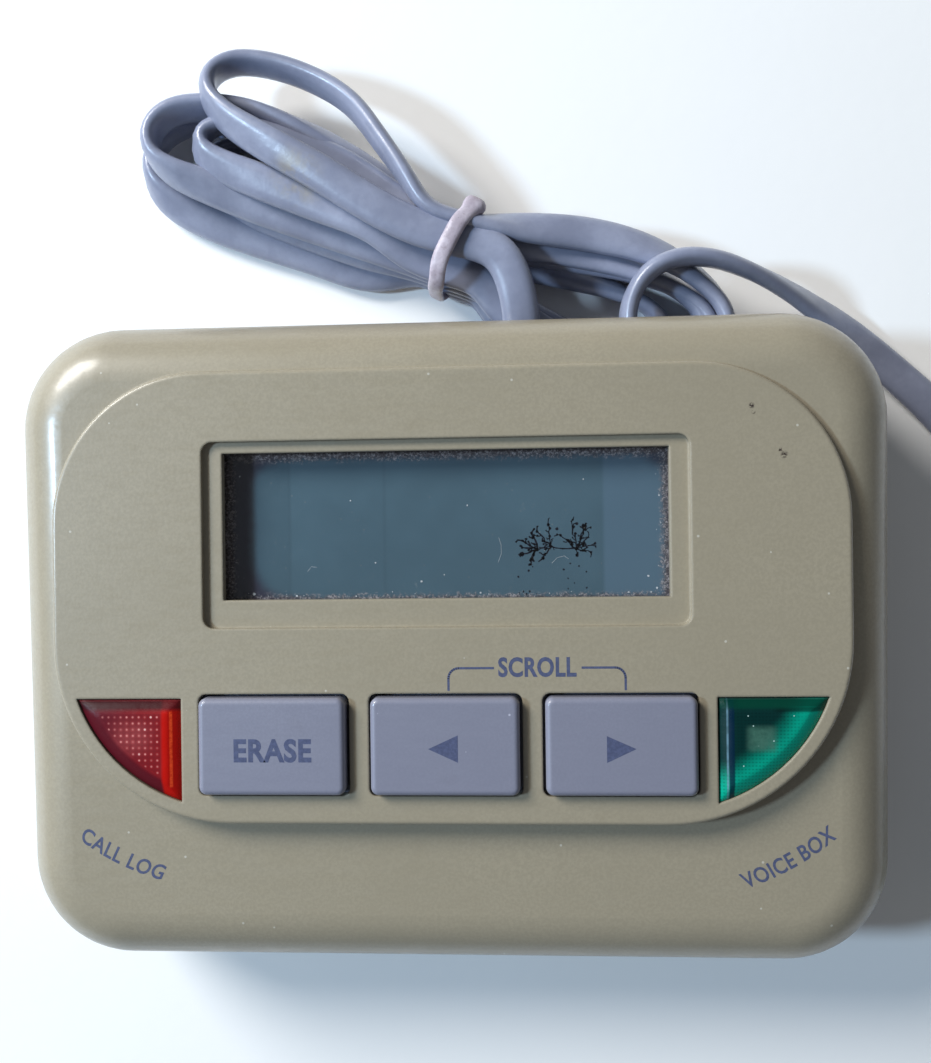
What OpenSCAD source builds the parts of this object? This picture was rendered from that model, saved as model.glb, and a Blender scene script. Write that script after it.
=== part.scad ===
// Desk caller display: two-part housing, window, keys, lamps, board, jacks, battery bay and flat line cord.
// Millimetres. Origin on the table under the middle of the housing, X to the right, Y to the rear, Z up.

/* [Housing] */
// Outside width at the parting line
body_w = 111.4; // [104:0.2:120]
// Outside depth at the parting line
body_d = 82.6; // [78:0.2:88]
// Height of the parting line above the table, at the middle
part_z = 15.9; // [15.5:0.1:16.5]
// Corner radius seen from above
corner_r = 13.5; // [10:0.5:16]
// Radius of the upper housing's shoulder
shoulder_r = 7.5; // [5:0.5:7.5]
// Fall of the top and the parting line towards the front, in degrees
top_slope = 2.05; // [0:0.05:3]
// Height of the sloping top above the parting line, at the middle
top_h = 7.57; // [7.2:0.01:8]
// Wall thickness
wall = 2; // [1.6:0.1:2.4]
// Height of the lower housing's underside above the table
base_z = 1; // [0.6:0.1:1.5]
// Radius of the lower housing's bottom edge
base_r = 5; // [3:0.5:6]

/* [Raised island] */
// Island width
island_w = 98.4; // [94:0.2:100]
// Island front edge
island_y0 = -21.8; // [-24:0.1:-20]
// Island rear edge
island_y1 = 34.4; // [32:0.1:36]
// Island front corner radius
island_rf = 22.5; // [18:0.5:24]
// Island rear corner radius
island_rr = 19; // [14:0.5:24]
// Height of the island's face above the table
face_z = 25.5; // [24:0.1:27]
// Rounding of the island's edge
island_edge = 0.5; // [0.3:0.1:0.8]

/* [Display] */
// Sight opening width
sight_w = 55.2; // [50:0.2:58]
// Sight opening front edge
sight_y0 = 5.9; // [5:0.1:7]
// Sight opening rear edge
sight_y1 = 24.2; // [23:0.1:25]
// Width of the sunk frame round the opening
frame_w = 60; // [58:0.2:62]
// Sunk frame's front edge
frame_y0 = 2.45; // [2:0.05:4]
// Sunk frame's rear edge
frame_y1 = 25.6; // [25:0.1:27]
// Depth of the sunk frame
frame_sink = 0.8; // [0.4:0.1:1]

/* [Keys] */
// Key width
key_w = 18.2; // [16:0.1:19]
// Key depth
key_d = 11.9; // [10:0.1:13]
// Distance between key centres
key_pitch = 21.3; // [21:0.1:23]
// Key row's centre line
key_y = -11.95; // [-13:0.05:-11]
// Height of the keys above the island
key_proud = 1.5; // [1:0.1:2]
// Gap round a key in its well
key_gap = 0.35; // [0.25:0.05:0.5]

/* [Lamps] */
// Straight inner side of a lamp, from the middle
lamp_x = 33; // [32.5:0.1:34]
// Straight rear side of the lamps
lamp_y = -6.3; // [-8:0.1:-5]
// Radius of a lamp's curved side
lamp_r = 20.6; // [18:0.1:20.6]
// Height of a lamp above the island
lamp_proud = 0.5; // [0:0.1:1]

/* [Line cord] */
// Flat cord width
cord_w = 5; // [4.6:0.1:5.4]
// Flat cord thickness
cord_t = 2.4; // [2:0.1:2.6]

/* [Hidden] */
$fn = 64;
eps = 0.01;

beige = [0.66, 0.63, 0.53];
lavender = [0.53, 0.54, 0.62];
steel = [0.7, 0.7, 0.72];
cord_colour = [0.5, 0.54, 0.64];

// island and wells
island_wall = 1.5;
inner_z = face_z - wall;
rim_z = part_z + 3;
ledge_z = face_z - frame_sink;

// board
board_z = 16;
board_t = 1.6;
board_top = board_z + board_t;
board_hw = 43;
board_y0 = -22;
board_y1 = 33;
post_at = [[-38, 0], [38, 0], [-38, 27], [39.5, 20.5]];
post_r = 2.75;

// case screws and feet
column_at = [[-47.5, -31.5], [47.5, -31.5], [-47.5, 31.5], [47.5, 31.5]];
column_r = 4.2;
seat_z = 9;
pilot_end = 21;
foot_at = [[-34, -31.8], [34, -31.8], [-34, 31.8], [46, 20]];
foot_r = 3.9;
foot_sunk = 0.8;

// battery bay: four AAA cells side by side, axes along Y
cell_r = 5.2;
cell_len = 44.5;
cell_nub = 1.1;
cell_pitch = 10.9;
cell_z = 8.5;
bay_x0 = -49.8;
bay_x1 = -6.2;
bay_y0 = -24;
bay_y1 = 23;
bay_top = 13.8;
bay_wall = 1.2;
plate_t = 0.4;
cell_x = [for (i = [0:3]) (bay_x0 + bay_x1)/2 + (i - 1.5)*cell_pitch];

// battery door
door_x0 = -51.8;
door_x1 = -4.7;
door_y0 = -26.3;
door_y1 = 25.3;
door_t = 1.6;
door_gap = 0.25;
tongue = 1.1;

// jack bay in the rear of the lower housing, open to the rear and below
jbay_x0 = -1;
jbay_x1 = 42;
jbay_y0 = 26;
jbay_top = 14;
line_x = 10;
phone_x = 30;
jack_w = 13.2;
jack_z0 = 4.6;
jack_front = 26.2;
jack_len = 17.8;
socket_w = 9.9;
socket_z0 = 6.8;
socket_z1 = 13.8;
socket_deep = 12.6;

// lamp corner, shared with the island's front corner
lamp_cx = island_w/2 - island_rf;
lamp_cy = island_y0 + island_rf;
led_at = [38.5, -11.7];

// modular plug and the four contacts in its socket
plug_w = 9.6;
plug_t = 6.6;
plug_head = 11.8;
plug_neck_w = 7.8;
plug_len = 21;
tab_z = 4.3;
plug_a_y = jack_front - 9.2;
plug_a_z = socket_z0 + plug_t/2;
contact_at = [-1.53, -0.51, 0.51, 1.53];
contact_t = 0.4;
contact_len = 6.6;
contact_slant = 13;

// cord hank: bundle of folds lying on the table, its waist through the tie, its right end in the jack bay
tie_at = [0.8, 52.7];
tie_w = 3.6;
tie_t = 1.2;
hank_z0 = 0.2;
hank_z1 = 10.4;
left_lobe = [[-35.5, 67], [-14, 58.5]];
left_r = 8.5;
right_lobe = [[14, 48], [30.5, 43.6]];
right_r = 7.5;
waist_r = 5.6;
waist_z0 = 1.4;
waist_z1 = 14;
waist_a = [-8.7, 56.5];
waist_b = [10.3, 48.9];
lobe_steps = 13;

// cord routes: hand-laid points on the cord's centre line
tail_end = [78, -22, 4.2];
route_a = [[line_x, plug_a_y + plug_len, plug_a_z], [9.9, 40.4, 10.8], [9.2, 43.6, 12.2], [7.6, 47.2, 12.6],
           [5.6, 49.8, 12.2]];
route_loose = [[-4.4, 56.2, 12.6], [-8, 58.4, 12.2], [-17.8, 64.3, 11.4], [-27, 69.2, 11.4], [-32, 73, 10.4],
               [-33.4, 76.6, 9], [-31, 79.4, 8], [-26, 79.6, 7.8], [-18.6, 77.2, 8.4], [-12.6, 73, 9.6],
               [-8, 67.6, 11], [-5, 61.8, 12.2], [-4.2, 59, 12.4]];
route_b = [[24, 39.6, 8.6], [24, 42.8, 10.2], [25.4, 46.4, 11.8], [29, 49, 12.8], [34.4, 49.6, 12.4], [40, 48.6, 10.4],
           [45, 47, 7.6], [50, 44.8, 5], [56, 40.8, 2.8], [62.4, 35.4, 1.8], [68.4, 29.6, 1.4], [74, 22, 1.4],
           [77.2, 13, 1.4], [78, 3, 1.4], [78, -8, 1.8], [78, -16, 3.2], tail_end];

// ---- shared shapes ----
module side_profile(r, h, e) {
    difference() {
        square([r, h]);
        translate([r - e, h - e]) difference() {
            square(2*e);
            circle(e);
        }
    }
}

// slab with rounded corners and a rounded top edge, z from 0 to h
module slab(hw, y0, y1, rf, rr, h, e) {
    rm = min(rf, rr);
    straight = y1 - rr - y0 - rf;
    translate([-(hw - rm), y0 + rf, 0]) cube([2*(hw - rm), straight, h]);
    translate([hw - rf, y0 + rf, 0]) rotate([90, 0, -90]) linear_extrude(2*(hw - rf)) side_profile(rf, h, e);
    translate([-(hw - rr), y1 - rr, 0]) rotate([90, 0, 90]) linear_extrude(2*(hw - rr)) side_profile(rr, h, e);
    translate([hw - rm, y1 - rr, 0]) rotate([90, 0, 0]) linear_extrude(straight) side_profile(rm, h, e);
    translate([-(hw - rm), y0 + rf, 0]) rotate([90, 0, 180]) linear_extrude(straight) side_profile(rm, h, e);
    for (s = [0, 1]) {
        translate([s ? hw - rr : -(hw - rr), y1 - rr, 0]) rotate([0, 0, s ? 0 : 90])
            rotate_extrude(angle = 90) side_profile(rr, h, e);
        translate([s ? hw - rf : -(hw - rf), y0 + rf, 0]) rotate([0, 0, s ? 270 : 180])
            rotate_extrude(angle = 90) side_profile(rf, h, e);
    }
}

// upright box with rounded corners
module rbox(x0, x1, y0, y1, r, z0, z1) {
    translate([x0 + r, y0, z0]) cube([x1 - x0 - 2*r, y1 - y0, z1 - z0]);
    translate([x0, y0 + r, z0]) cube([x1 - x0, y1 - y0 - 2*r, z1 - z0]);
    for (x = [x0 + r, x1 - r], y = [y0 + r, y1 - r])
        translate([x, y, z0]) cylinder(r = r, h = z1 - z0);
}

module box(x0, x1, y0, y1, z0, z1) {
    translate([x0, y0, z0]) cube([x1 - x0, y1 - y0, z1 - z0]);
}

// lamp sector of the left lamp: two straight sides and one arc
module sector(grow, z0, z1) {
    intersection() {
        translate([-lamp_cx, lamp_cy, z0]) cylinder(r = lamp_r + grow, h = z1 - z0);
        box(-lamp_cx - lamp_r - 1, -lamp_x + grow, lamp_cy - lamp_r - 1, lamp_y + grow, z0, z1);
    }
}

// ---- swept tubes ----
function unit(v) = v/norm(v);
function spline(a, b, c, d, t) = 0.5*(2*b + (c - a)*t + (2*a - 5*b + 4*c - d)*t*t + (3*b - a - 3*c + d)*t*t*t);
function smooth(p, n) = concat([for (i = [0:len(p) - 2], k = [0:n - 1])
    spline(p[max(i - 1, 0)], p[i], p[i + 1], p[min(i + 2, len(p) - 1)], k/n)], [p[len(p) - 1]]);
function heading(p, i) = unit(p[min(i + 1, len(p) - 1)] - p[max(i - 1, 0)]);
function flat_side(t) = unit(cross(t, [0, 0, 1]));

module swept(p, w, h, sides) {
    n = len(p);
    points = [for (i = [0:n - 1], j = [0:sides - 1])
        let (t = heading(p, i), s = flat_side(t), u = cross(s, t), a = 360*j/sides)
            p[i] + s*w/2*cos(a) + u*h/2*sin(a)];
    faces = concat([[for (j = [sides - 1:-1:0]) j]],
        [for (i = [0:n - 2], j = [0:sides - 1])
            [i*sides + j, i*sides + (j + 1)%sides, (i + 1)*sides + (j + 1)%sides, (i + 1)*sides + j]],
        [[for (j = [0:sides - 1]) (n - 1)*sides + j]]);
    polyhedron(points, faces, convexity = 8);
}

// ---- upper housing ----
module sloping_top(inset, below) {
    translate([0, 0, part_z]) rotate([top_slope, 0, 0]) translate([0, 0, -below])
        slab(body_w/2 - inset, -body_d/2 + inset, body_d/2 - inset, corner_r - inset, corner_r - inset,
             top_h - inset + below, shoulder_r - inset);
}

module upper_hollow() {
    difference() {
        union() {
            sloping_top(wall, 1);
            translate([0, 0, part_z - 2])
                slab(island_w/2 - island_wall, island_y0 + island_wall, island_y1 - island_wall,
                     island_rf - island_wall, island_rr - island_wall, inner_z - part_z + 2, 0.2);
        }
        for (p = post_at) translate([p[0], p[1], board_top]) cylinder(r = post_r, h = 12);
        for (p = column_at) translate([p[0], p[1], part_z - 3]) cylinder(r = 3.5, h = 14);
    }
}

module upper_housing() {
    color(beige) difference() {
        union() {
            sloping_top(0, 0);
            translate([0, 0, part_z + 3])
                slab(island_w/2, island_y0, island_y1, island_rf, island_rr, face_z - part_z - 3, island_edge);
        }
        upper_hollow();
        rbox(-frame_w/2, frame_w/2, frame_y0, frame_y1, 1.4, ledge_z, face_z + 1);
        box(-sight_w/2, sight_w/2, sight_y0, sight_y1, inner_z - 1, face_z + 1);
        for (i = [-1:1])
            rbox(i*key_pitch - key_w/2 - key_gap, i*key_pitch + key_w/2 + key_gap,
                 key_y - key_d/2 - key_gap, key_y + key_d/2 + key_gap, 1, inner_z - 1, face_z + 1);
        sector(0.1, inner_z - 1, face_z + 1);
        mirror([1, 0, 0]) sector(0.1, inner_z - 1, face_z + 1);
        for (p = post_at) translate([p[0], p[1], board_top - 1]) cylinder(r = 1, h = 5.9);
        for (p = column_at) translate([p[0], p[1], part_z - 3]) cylinder(r = 1.3, h = pilot_end - part_z + 3);
    }
}

// ---- lower housing ----
module lower_hollow() {
    difference() {
        translate([0, 0, rim_z + 1]) mirror([0, 0, 1])
            slab(body_w/2 - 0.2 - wall, -body_d/2 + 0.2 + wall, body_d/2 - 0.2 - wall,
                 corner_r - 0.2 - wall, corner_r - 0.2 - wall, rim_z + 1 - base_z - wall, base_r - wall);
        for (p = column_at) translate([p[0], p[1], 0]) cylinder(r = column_r, h = 30);
        box(bay_x0 - bay_wall, bay_x1 + bay_wall, bay_y0 - bay_wall, bay_y1 + bay_wall, 0, bay_top + 1);
        box(jbay_x0 - 1.5, jbay_x1 + 1.5, jbay_y0 - 1.8, 60, 0, jbay_top + 1.5);
    }
}

module lower_housing() {
    color(beige) difference() {
        translate([0, 0, rim_z]) mirror([0, 0, 1])
            slab(body_w/2 - 0.2, -body_d/2 + 0.2, body_d/2 - 0.2, corner_r - 0.2, corner_r - 0.2,
                 rim_z - base_z, base_r);
        lower_hollow();
        translate([0, 0, part_z]) rotate([top_slope, 0, 0]) box(-body_w, body_w, -body_d, body_d, 0, 20);
        // battery bay, door recess and the grooves for the door's tongues
        box(bay_x0, bay_x1, bay_y0, bay_y1, 0, bay_top);
        box(-60, door_x1 + door_gap, door_y0 - door_gap, door_y1 + door_gap, 0, base_z + door_t + 0.2);
        box(-60, door_x1 + door_gap, door_y0 - tongue - door_gap, door_y1 + tongue + door_gap,
            base_z + 0.7, base_z + door_t + 0.2);
        // jack bay and the slots that the two jacks look out of
        box(jbay_x0, jbay_x1, jbay_y0, 60, -1, jbay_top);
        for (x = [line_x, phone_x])
            box(x - jack_w/2 - 0.2, x + jack_w/2 + 0.2, jbay_y0 - 3, jbay_y0 + 0.5, jack_z0 - 0.2, 20);
        for (p = column_at) translate([p[0], p[1], 0]) {
            cylinder(r = 3, h = seat_z);
            cylinder(r = 1.6, h = 20);
        }
        for (p = foot_at) translate([p[0], p[1], 0]) cylinder(r = foot_r + 0.1, h = base_z + foot_sunk);
    }
}

// ---- display ----
module lcd_window() {
    color([0.8, 0.85, 0.88, 0.4]) rbox(-29.5, 29.5, 4.1, 26.1, 0.8, inner_z - 1.2, inner_z);
}

module lcd_holder() {
    color([0.2, 0.2, 0.22]) difference() {
        rbox(-33, 33, 0.9, 29.3, 1, board_top, inner_z - 1.3);
        box(-30.2, 30.2, 2.9, 27.3, board_top + 1.8, inner_z - 1.8);
        box(-30.2, 30.2, 2.9, 25, board_top - 1, board_top + 2);
        box(-28.5, 28.5, 5.2, 25, board_top, inner_z);
    }
}

module lcd_glass() {
    color([0.35, 0.43, 0.47]) {
        box(-30, 30, 3.1, 27.1, board_top + 1.8, board_top + 2.9);
        box(-30, 30, 5.3, 27.1, board_top + 2.9, board_top + 4);
    }
}

module lcd_connector() {
    color([0.85, 0.75, 0.8]) box(-28, 28, 3.3, 5.7, board_top, board_top + 1.8);
}

// ---- lamps ----
module lamp_lens() {
    top = face_z + lamp_proud;
    rim = face_z - 0.3;
    bevel = 1.5;
    far = lamp_cx + lamp_r + 2;
    difference() {
        sector(0, inner_z - 0.4, top);
        translate([-lamp_x, 0, 0]) rotate([90, 0, 0]) linear_extrude(40)
            polygon([[-bevel, top], [0, rim], [1, rim], [1, top + 1], [-bevel, top + 1]]);
        translate([0, lamp_y, 0]) rotate([90, 0, -90]) linear_extrude(far)
            polygon([[bevel, top], [0, rim], [-1, rim], [-1, top + 1], [bevel, top + 1]]);
        translate([-lamp_cx, lamp_cy, 0]) difference() {
            translate([0, 0, rim]) cylinder(r = lamp_r + 2, h = 3);
            translate([0, 0, rim]) cylinder(r1 = lamp_r, r2 = lamp_r - bevel, h = top - rim);
        }
    }
}

module red_lamp_lens() {
    color([0.6, 0.06, 0.05]) lamp_lens();
}

module green_lamp_lens() {
    color([0.0, 0.4, 0.3]) mirror([1, 0, 0]) lamp_lens();
}

module led(side) {
    translate([side*led_at[0], led_at[1], 0]) {
        translate([0, 0, board_top]) cylinder(r = 1.9, h = 0.9);
        translate([0, 0, board_top]) cylinder(r = 1.5, h = 3.3);
        translate([0, 0, board_top + 3.3]) sphere(r = 1.5);
        for (x = [-1.27, 1.27]) translate([x, 0, board_z - 0.7]) cylinder(r = 0.25, h = 2.6);
    }
}

module red_led() {
    color([0.8, 0.1, 0.1]) led(-1);
}

module green_led() {
    color([0.1, 0.7, 0.3]) led(1);
}

// ---- keys ----
module key_cap(i) {
    skirt_z = inner_z - 1.4;
    translate([i*key_pitch, key_y, 0]) {
        translate([0, 0, skirt_z]) slab(key_w/2, -key_d/2, key_d/2, 1, 1, face_z + key_proud - skirt_z, 0.7);
        rbox(-key_w/2 - 1, key_w/2 + 1, -key_d/2 - 1, key_d/2 + 1, 1, skirt_z, skirt_z + 1.2);
        translate([0, 0, skirt_z - 0.6]) cylinder(r = 2.5, h = 1);
    }
}

module erase_key() {
    color(lavender) key_cap(-1);
}

module back_key() {
    color(lavender) key_cap(0);
}

module forward_key() {
    color(lavender) key_cap(1);
}

// hollow silicone dome under a key
module dome(i) {
    dome_h = inner_z - 2 - board_top;
    translate([i*key_pitch, key_y, board_top]) difference() {
        union() {
            cylinder(r = 5, h = 0.8);
            translate([0, 0, 0.8]) cylinder(r1 = 4.2, r2 = 3, h = dome_h - 1.8);
            translate([0, 0, dome_h - 1]) cylinder(r = 2.5, h = 1);
        }
        translate([0, 0, -eps]) cylinder(r1 = 3.4, r2 = 2.2, h = dome_h - 1.8);
    }
}

module erase_dome() {
    color([0.85, 0.85, 0.83]) dome(-1);
}

module back_dome() {
    color([0.85, 0.85, 0.83]) dome(0);
}

module forward_dome() {
    color([0.85, 0.85, 0.83]) dome(1);
}

// ---- board and parts on it ----
module main_board() {
    color([0.1, 0.35, 0.2]) difference() {
        rbox(-board_hw, board_hw, board_y0, board_y1, 2, board_z, board_top);
        for (p = post_at) translate([p[0], p[1], board_z - 1]) cylinder(r = 1.2, h = 4);
        for (s = [-1, 1], x = [-1.27, 1.27])
            translate([s*led_at[0] + x, led_at[1], board_z - 1]) cylinder(r = 0.4, h = 4);
    }
}

module controller_chip() {
    color([0.08, 0.08, 0.09]) {
        rbox(5, 19, -18, -4, 0.5, board_z - 2.4, board_z - 0.2);
        for (i = [0:10]) {
            box(6.6 + i*1.08, 7 + i*1.08, -19.4, -2.6, board_z - 0.6, board_z);
            box(3.6, 20.4, -16.6 + i*1.08, -16.2 + i*1.08, board_z - 0.6, board_z);
        }
    }
}

module crystal() {
    color(steel) {
        rbox(25, 36, -18, -13.4, 2.2, board_z - 3.6, board_z - 0.4);
        rbox(24.6, 36.4, -18.4, -13, 2.2, board_z - 0.4, board_z);
    }
}

module bulk_capacitor() {
    color([0.12, 0.14, 0.3]) translate([31, -5, board_z - 11.5]) cylinder(r = 4, h = 11.5);
}

module bridge_rectifier() {
    color([0.09, 0.09, 0.1]) {
        box(-2, 3, 8, 14.4, board_z - 3.3, board_z - 0.6);
        for (x = [-1.4, 1.2], y = [7.2, 14.4]) box(x, x + 0.6, y, y + 0.8, board_z - 1.6, board_z);
    }
}

module optocoupler() {
    color([0.92, 0.92, 0.9]) {
        box(17.8, 22.2, 10, 16.4, board_z - 3.4, board_z - 0.6);
        for (y = [10.6, 13.1, 15.4]) box(17.2, 22.8, y, y + 0.5, board_z - 1.6, board_z);
    }
}

module jack(x) {
    difference() {
        box(x - jack_w/2, x + jack_w/2, jack_front - jack_len, jack_front, jack_z0, board_z);
        box(x - socket_w/2, x + socket_w/2, jack_front - socket_deep, jack_front + 1, socket_z0, socket_z1);
        box(x - 3.1, x + 3.1, jack_front - socket_deep + 4, jack_front + 1, socket_z0 - 1.4, socket_z0 + 1);
    }
}

module line_jack() {
    color([0.82, 0.8, 0.74]) jack(line_x);
}

module phone_jack() {
    color([0.82, 0.8, 0.74]) jack(phone_x);
}

// four spring wires: each has a foot flat on the roof of the empty socket and a slant back and down from it
module phone_jack_contacts() {
    foot_y = jack_front - 3.6;
    color([0.85, 0.7, 0.3]) for (i = contact_at)
        translate([phone_x + i - contact_t/2, foot_y, socket_z1 - contact_t]) {
            cube([contact_t, 2, contact_t]);
            rotate([contact_slant, 0, 0]) translate([0, -contact_len, 0]) cube([contact_t, contact_len, contact_t]);
        }
}

// ---- batteries ----
module cell(i) {
    turn = i%2;
    y0 = turn ? bay_y0 + plate_t : bay_y1 - plate_t - cell_len;
    translate([cell_x[i], turn ? y0 + cell_len : y0, cell_z]) rotate([turn ? 90 : -90, 0, 0]) {
        cylinder(r = cell_r, h = cell_len - cell_nub);
        cylinder(r = 1.9, h = cell_len);
    }
}

module battery_cell_1() {
    color([0.8, 0.5, 0.2]) cell(0);
}

module battery_cell_2() {
    color([0.8, 0.5, 0.2]) cell(1);
}

module battery_cell_3() {
    color([0.8, 0.5, 0.2]) cell(2);
}

module battery_cell_4() {
    color([0.8, 0.5, 0.2]) cell(3);
}

// flat coil spring between a cell's plain end and its plate
function coil(turns, r0, r1, h, n) = [for (i = [0:turns*n])
    let (f = i/(turns*n), a = 360*i/n, r = r0 + (r1 - r0)*f) [r*cos(a), h*f, r*sin(a)]];

function coil_side(p, i) = unit(cross(heading(p, i), [0, 1, 0]));

module coil_wire(p, d, sides) {
    n = len(p);
    points = [for (i = [0:n - 1], j = [0:sides - 1])
        let (t = heading(p, i), s = coil_side(p, i), u = cross(s, t), a = 360*j/sides)
            p[i] + s*d/2*cos(a) + u*d/2*sin(a)];
    faces = concat([[for (j = [sides - 1:-1:0]) j]],
        [for (i = [0:n - 2], j = [0:sides - 1])
            [i*sides + j, i*sides + (j + 1)%sides, (i + 1)*sides + (j + 1)%sides, (i + 1)*sides + j]],
        [[for (j = [0:sides - 1]) (n - 1)*sides + j]]);
    polyhedron(points, faces, convexity = 8);
}

module battery_springs() {
    gap = bay_y1 - bay_y0 - 2*plate_t - cell_len;
    wire = 0.45;
    color(steel) for (i = [0:3])
        translate([cell_x[i], i%2 ? bay_y1 - plate_t - wire/2 : bay_y0 + plate_t + wire/2, cell_z])
            mirror([0, i%2, 0]) coil_wire(coil(2.5, 3.4, 1.6, gap - wire, 14), wire, 6);
}

module battery_plates() {
    // front row joins cells in pairs; rear row joins the middle pair and leaves the two ends single
    color(steel) {
        for (i = [0, 2]) box(cell_x[i] - 4, cell_x[i + 1] + 4, bay_y0, bay_y0 + plate_t, 4.4, 12.6);
        box(cell_x[1] - 4, cell_x[2] + 4, bay_y1 - plate_t, bay_y1, 4.4, 12.6);
        for (i = [0, 3]) box(cell_x[i] - 4, cell_x[i] + 4, bay_y1 - plate_t, bay_y1, 4.4, 12.6);
    }
}

module battery_leads() {
    // rises from the rear wall of the bay to the underside of the board
    route = [[0, 0.12, 10], [0, 1.4, 10], [2, 5, 10.8], [6, 7, 12], [9, 6.6, 13.4], [9.6, 6, 14.8], [9.6, 6, board_z - 0.1]];
    color([0.7, 0.1, 0.1]) for (i = [0, 3])
        translate([cell_x[i], bay_y1 + bay_wall, 0]) mirror([i == 3 ? 1 : 0, 0, 0]) swept(smooth(route, 3), 1.3, 1.3, 10);
}

module battery_door() {
    color(beige) difference() {
        union() {
            box(door_x0, door_x1, door_y0, door_y1, base_z, base_z + door_t);
            box(door_x0 + 4, door_x1, door_y0 - tongue, door_y1 + tongue, base_z + 0.9, base_z + door_t);
        }
        for (i = [0:5]) box(door_x0 + 3 + i*1.6, door_x0 + 3.8 + i*1.6, -8, 8, base_z - 1, base_z + 0.4);
    }
}

// ---- fasteners and feet ----
module case_screws() {
    color(steel) for (p = column_at) translate([p[0], p[1], 0]) {
        difference() {
            translate([0, 0, seat_z - 2.2]) cylinder(r = 2.7, h = 2.2);
            // cross recess
            box(-1.8, 1.8, -0.35, 0.35, seat_z - 3, seat_z - 1.1);
            box(-0.35, 0.35, -1.8, 1.8, seat_z - 3, seat_z - 1.1);
        }
        translate([0, 0, seat_z - 0.2]) cylinder(r = 1.25, h = pilot_end - seat_z);
    }
}

module board_screws() {
    color(steel) for (p = post_at) translate([p[0], p[1], 0]) {
        translate([0, 0, board_z - 1.1]) cylinder(r = 2, h = 1.1);
        translate([0, 0, board_z - 0.5]) cylinder(r = 0.95, h = 6.5);
    }
}

module rubber_feet() {
    color([0.15, 0.15, 0.15]) for (p = foot_at) translate([p[0], p[1], 0])
        cylinder(r = foot_r, h = base_z + foot_sunk);
}

// ---- line cord ----
// modular plug seen along -Y from its cord end; the nose is at y = 0 and the cord end at y = 21
module plug() {
    difference() {
        union() {
            box(-plug_w/2, plug_w/2, 0, plug_head, -plug_t/2, plug_t/2);
            box(-plug_neck_w/2, plug_neck_w/2, plug_head - 0.1, plug_len, -plug_t/2 + 0.9, plug_t/2);
        }
        for (i = contact_at) box(i - contact_t/2, i + contact_t/2, -1, 5, plug_t/2 - 1, plug_t/2 + 1);
    }
    // latch: nose bar and spring tab
    box(-2.9, 2.9, 0.7, 1.9, -tab_z, -plug_t/2 + 0.2);
    box(-1.6, 1.6, 0.9, 13, -tab_z, -tab_z + 0.8);
}

module line_plug_a() {
    color([0.85, 0.88, 0.9, 0.6]) translate([line_x, plug_a_y, plug_a_z]) plug();
}

module line_cord_a() {
    color(cord_colour) swept(smooth(route_a, 3), cord_w, cord_t, 12);
}

function half_round(c, r, from) = [for (i = [0 : lobe_steps]) c + r*[cos(from + 180*i/lobe_steps), sin(from + 180*i/lobe_steps)]];

module lobe(a, b, r, z0, z1) {
    along = atan2(b[1] - a[1], b[0] - a[0]);
    translate([0, 0, z0]) linear_extrude(z1 - z0)
        polygon(concat(half_round(a, r, along + 90), half_round(b, r, along - 90)));
}

module cord_hank() {
    color(cord_colour) {
        lobe(left_lobe[0], left_lobe[1], left_r, hank_z0, hank_z1);
        lobe(right_lobe[0], right_lobe[1], right_r, hank_z0, hank_z1);
        lobe(waist_a, waist_b, waist_r, waist_z0, waist_z1);
    }
}

module cord_tie() {
    along = waist_b - waist_a;
    color([0.68, 0.6, 0.6]) translate([tie_at[0], tie_at[1], 0]) rotate(atan2(along[1], along[0])) difference() {
        box(-tie_w/2, tie_w/2, -waist_r - tie_t, waist_r + tie_t, waist_z0 - tie_t, waist_z1 + tie_t);
        box(-tie_w, tie_w, -waist_r, waist_r, waist_z0, waist_z1);
    }
}

module cord_loose_turn() {
    color(cord_colour) swept(smooth(route_loose, 3), cord_w, cord_t, 12);
}

module line_cord_b() {
    color(cord_colour) swept(smooth(route_b, 3), cord_w, cord_t, 12);
}

module line_plug_b() {
    color([0.85, 0.88, 0.9, 0.6]) translate([tail_end[0], tail_end[1] - plug_len, tab_z]) plug();
}

upper_housing();
lower_housing();
lcd_window();
lcd_holder();
lcd_glass();
lcd_connector();
red_lamp_lens();
green_lamp_lens();
red_led();
green_led();
erase_key();
back_key();
forward_key();
erase_dome();
back_dome();
forward_dome();
main_board();
controller_chip();
crystal();
bulk_capacitor();
bridge_rectifier();
optocoupler();
line_jack();
phone_jack();
phone_jack_contacts();
battery_cell_1();
battery_cell_2();
battery_cell_3();
battery_cell_4();
battery_springs();
battery_plates();
battery_leads();
battery_door();
case_screws();
board_screws();
rubber_feet();
line_plug_a();
line_cord_a();
cord_hank();
cord_tie();
cord_loose_turn();
line_cord_b();
line_plug_b();
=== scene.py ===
import math
import random

import bmesh
import bpy
import numpy as np
from mathutils import Matrix, Vector


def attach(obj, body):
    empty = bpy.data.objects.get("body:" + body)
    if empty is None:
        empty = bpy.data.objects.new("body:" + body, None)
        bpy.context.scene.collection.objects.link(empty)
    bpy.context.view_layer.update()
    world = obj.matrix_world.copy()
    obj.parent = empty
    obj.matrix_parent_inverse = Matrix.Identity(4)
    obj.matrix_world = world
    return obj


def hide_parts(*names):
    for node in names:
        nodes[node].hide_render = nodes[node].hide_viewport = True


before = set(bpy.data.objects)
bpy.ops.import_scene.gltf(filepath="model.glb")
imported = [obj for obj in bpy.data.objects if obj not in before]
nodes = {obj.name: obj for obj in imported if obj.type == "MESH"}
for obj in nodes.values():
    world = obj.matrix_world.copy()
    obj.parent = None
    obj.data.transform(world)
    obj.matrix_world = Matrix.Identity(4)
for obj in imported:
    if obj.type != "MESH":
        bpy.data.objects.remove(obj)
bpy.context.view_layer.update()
MM = 0.001
scene = bpy.context.scene
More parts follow.
